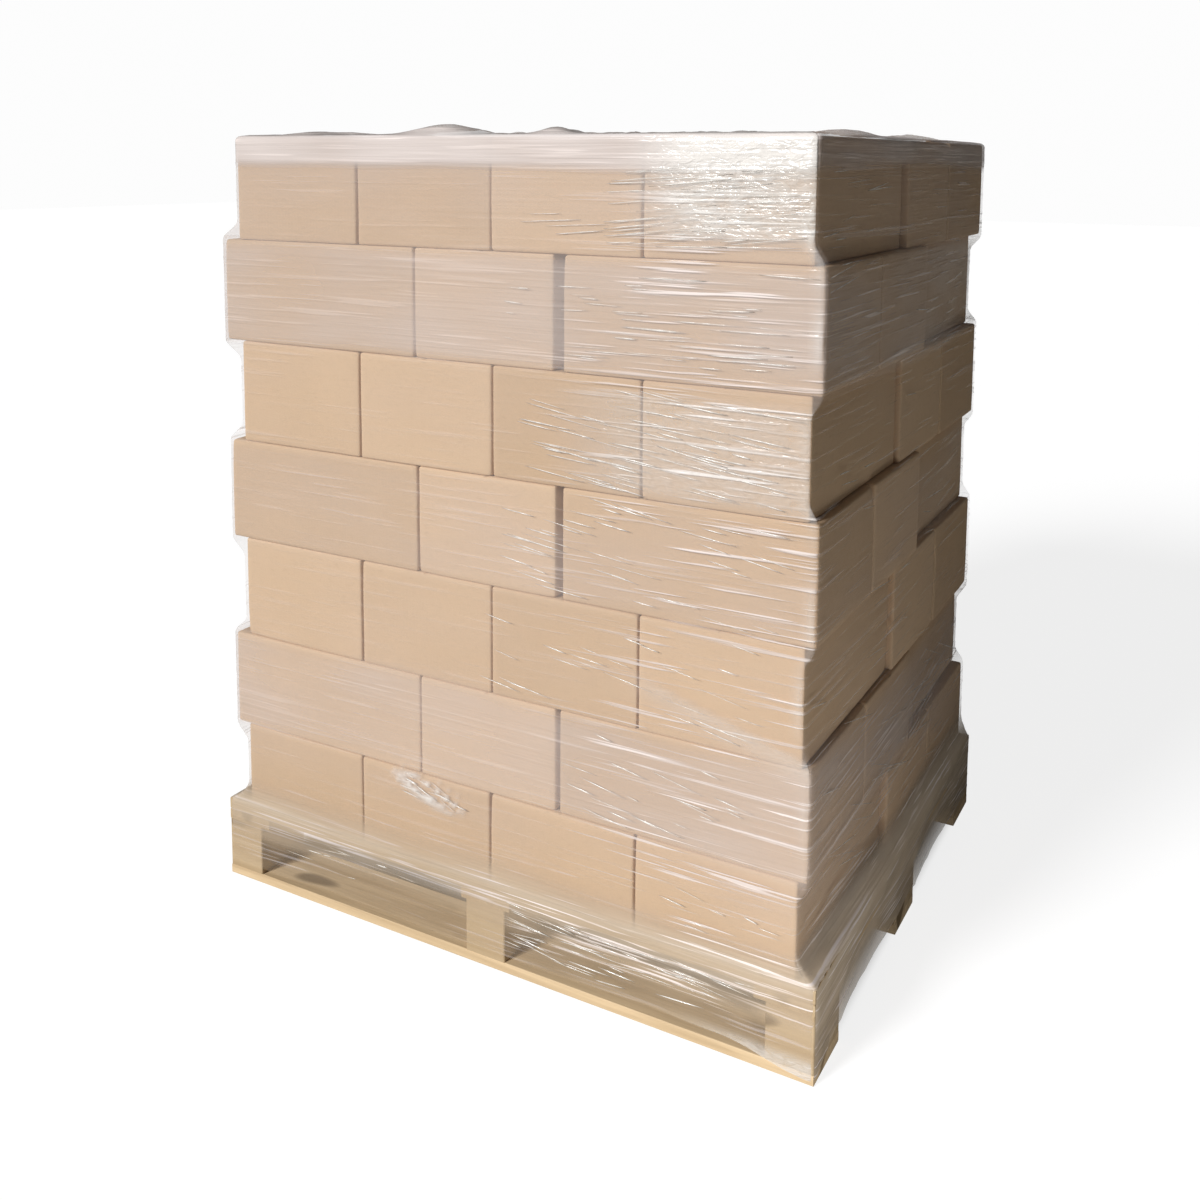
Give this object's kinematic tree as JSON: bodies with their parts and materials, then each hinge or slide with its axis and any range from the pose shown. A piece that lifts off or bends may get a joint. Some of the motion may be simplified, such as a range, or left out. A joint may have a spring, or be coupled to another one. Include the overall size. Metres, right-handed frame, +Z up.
{
  "type": "shrink wrapped pallet load",
  "caption": "Interlocked layers of plain cartons on a four-way block pallet, held together by clear stretch film.",
  "frame": {"origin": "centre of the underside of the pallet, on the floor", "axes": "+Z up; X along the pallet's long side; -Y is the long face that the reference view shows lit"},
  "size_m": [1.203, 1.003, 1.4395],
  "materials": {
    "carton": "matt kraft board",
    "pallet_wood": "rough sawn softwood",
    "film": "clear stretch film, hazy where it lies in many layers"
  },
  "bodies": {
    "root": {"pallet_bottom_boards": "pallet_wood", "pallet_blocks": "pallet_wood", "pallet_cross_boards": "pallet_wood", "pallet_deck_boards": "pallet_wood", "cartons_layer_1": "carton", "cartons_layer_2": "carton", "cartons_layer_3": "carton", "cartons_layer_4": "carton", "cartons_layer_5": "carton", "cartons_layer_6": "carton", "cartons_layer_7": "carton", "stretch_film": "film"}
  },
  "joints": []
}
